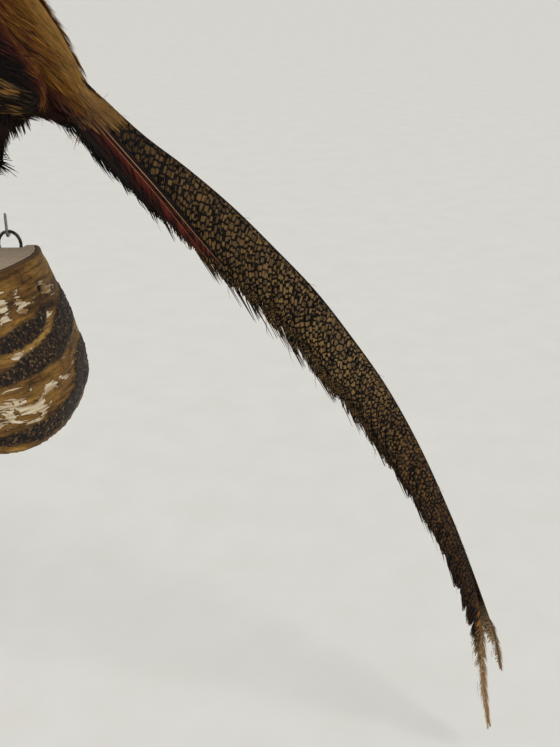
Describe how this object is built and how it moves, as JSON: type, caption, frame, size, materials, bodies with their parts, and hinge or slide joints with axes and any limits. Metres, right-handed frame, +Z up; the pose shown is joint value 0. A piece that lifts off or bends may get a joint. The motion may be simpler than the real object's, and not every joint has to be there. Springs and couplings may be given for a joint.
{
  "type": "wall-hung taxidermy golden pheasant on a log bracket",
  "caption": "Life-size mounted golden pheasant cock with a long trailing tail, perched on a sawn log bracket that hangs flat on a wall.",
  "frame": {"origin": "on the log's flat sawn back, where it lies against the wall, at the log's half height under the bird's breast", "axes": "+Z up, +Y into the wall, the bird faces -X and its tail trails towards +X"},
  "size_m": [0.6169, 0.1474, 0.897],
  "materials": {
    "log_bark": "smooth olive bark with rough dark bands and pale sawn ends",
    "feather_head": "fine short feathers, tan face and golden crown",
    "feather_neck": "fine feathers, rusty throat turning scarlet",
    "feather_body": "scarlet breast and flanks, green mantle, golden rump",
    "feather_crest": "long silky golden feathers",
    "feather_cape": "square orange feathers with blue-black bars",
    "feather_wing": "brown barred quills, blue tertials, rusty coverts",
    "feather_thigh": "loose brown and black feathers",
    "feather_tail": "ochre brown spots in a black network",
    "feather_red": "dark scarlet lance-shaped feathers with pale shafts",
    "horn_bill": "satin horn",
    "horn_claw": "satin dark horn",
    "leg_scale": "dry yellowish scales",
    "eye_glass": "glass eye, pale yellow with a small black pupil",
    "black_iron": "black lacquered iron wire and strap",
    "hook_steel": "plain bent steel wire"
  },
  "bodies": {
    "root": {"log": "log_bark", "head": "feather_head", "neck": "feather_neck", "trunk": "feather_body", "crest": "feather_crest", "cape": "feather_cape", "bill_upper": "horn_bill", "bill_lower": "horn_bill", "tail_inner": "feather_tail", "eye_left": "eye_glass", "wing_left": "feather_wing", "thigh_left": "feather_thigh", "shank_left": "leg_scale", "foot_left": "leg_scale", "spur_left": "horn_claw", "claw_inner_left": "horn_claw", "claw_middle_left": "horn_claw", "claw_outer_left": "horn_claw", "claw_hind_left": "horn_claw", "tail_left": "feather_tail", "covert_left": "feather_red", "eye_right": "eye_glass", "wing_right": "feather_wing", "thigh_right": "feather_thigh", "shank_right": "leg_scale", "foot_right": "leg_scale", "spur_right": "horn_claw", "claw_inner_right": "horn_claw", "claw_middle_right": "horn_claw", "claw_outer_right": "horn_claw", "claw_hind_right": "horn_claw", "tail_right": "feather_tail", "covert_right": "feather_red", "ring_near_tail": "black_iron", "strap_near_tail": "black_iron", "hook_near_tail": "hook_steel", "ring_near_breast": "black_iron", "strap_near_breast": "black_iron", "hook_near_breast": "hook_steel"}
  },
  "joints": []
}
